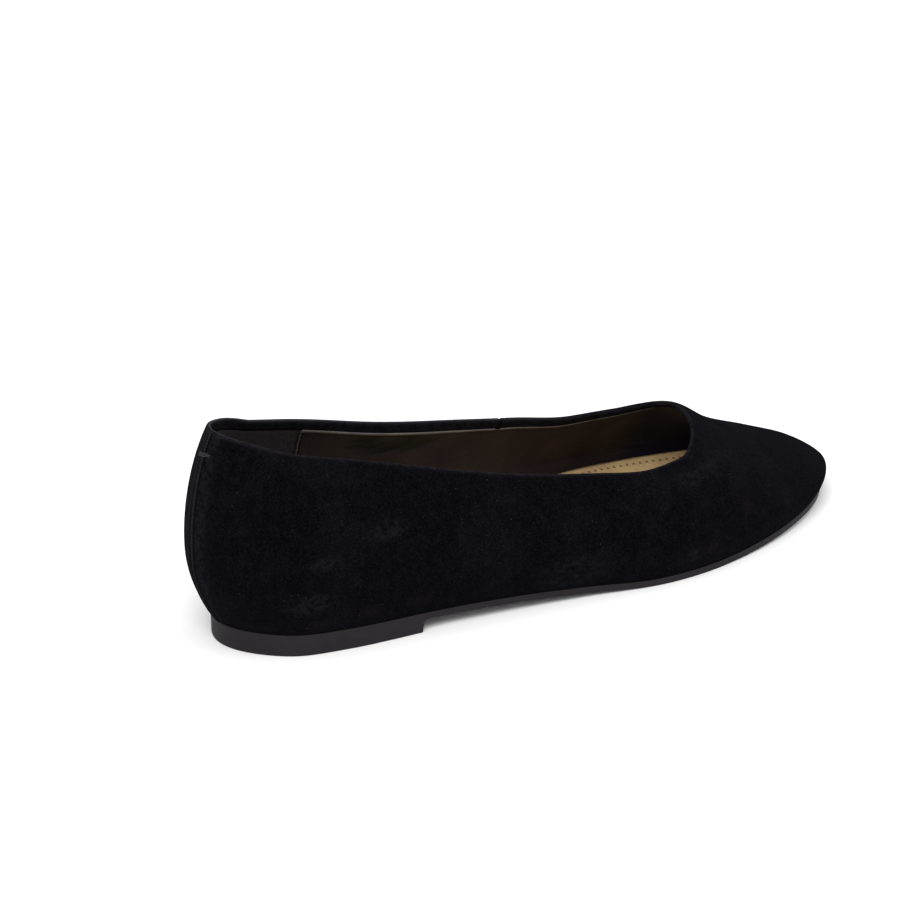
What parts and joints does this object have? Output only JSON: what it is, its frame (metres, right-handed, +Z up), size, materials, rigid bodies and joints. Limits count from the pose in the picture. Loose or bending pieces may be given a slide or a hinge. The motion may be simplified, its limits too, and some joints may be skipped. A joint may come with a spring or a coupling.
{
  "type": "ballet flat",
  "caption": "Slip-on ballet flat for the right foot: a low, open suede upper on a thin moulded rubber sole with a low heel, and an insole.",
  "frame": {"origin": "centre of the shoe's outer box, on the floor that the tread rests on", "axes": "+X to the toe, +Y to the big-toe side, +Z up"},
  "size_m": [0.2458, 0.0818, 0.0762],
  "materials": {
    "suede": "black suede, matte nap",
    "rubber": "moulded black rubber, satin",
    "sock": "smooth beige leather sock, matte"
  },
  "bodies": {
    "root": {"upper": "suede", "sole": "rubber", "insole": "sock"}
  },
  "joints": []
}
